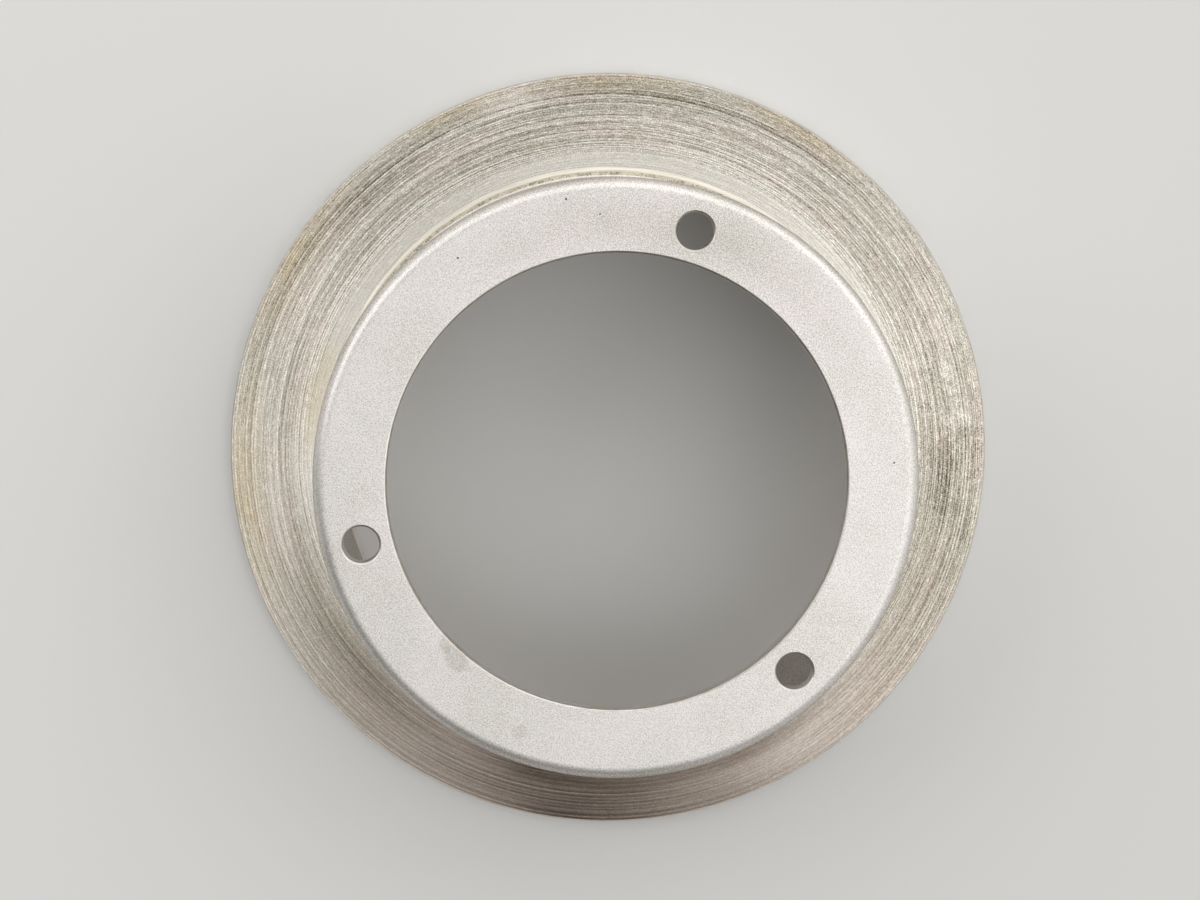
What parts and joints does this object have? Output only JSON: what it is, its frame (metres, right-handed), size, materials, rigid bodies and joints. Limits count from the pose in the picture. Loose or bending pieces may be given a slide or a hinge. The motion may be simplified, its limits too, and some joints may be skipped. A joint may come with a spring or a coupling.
{
  "type": "aircraft brake disc",
  "caption": "Turned steel brake disc: a flat worn friction ring with a deep open hat, a wide pilot bore and bolt holes in the hat's flange.",
  "frame": {"origin": "on the turning axis, in the plane of the rear ledge that the disc rests on", "axes": "+Z along the turning axis towards the hat's flange, +Y through one bolt hole"},
  "size_m": [0.1905, 0.1904, 0.0562],
  "materials": {
    "disc_steel": "friction faces with concentric wear tracks, hat bead blasted to a matte light grey"
  },
  "bodies": {
    "root": {"brake_disc": "disc_steel"}
  },
  "joints": []
}
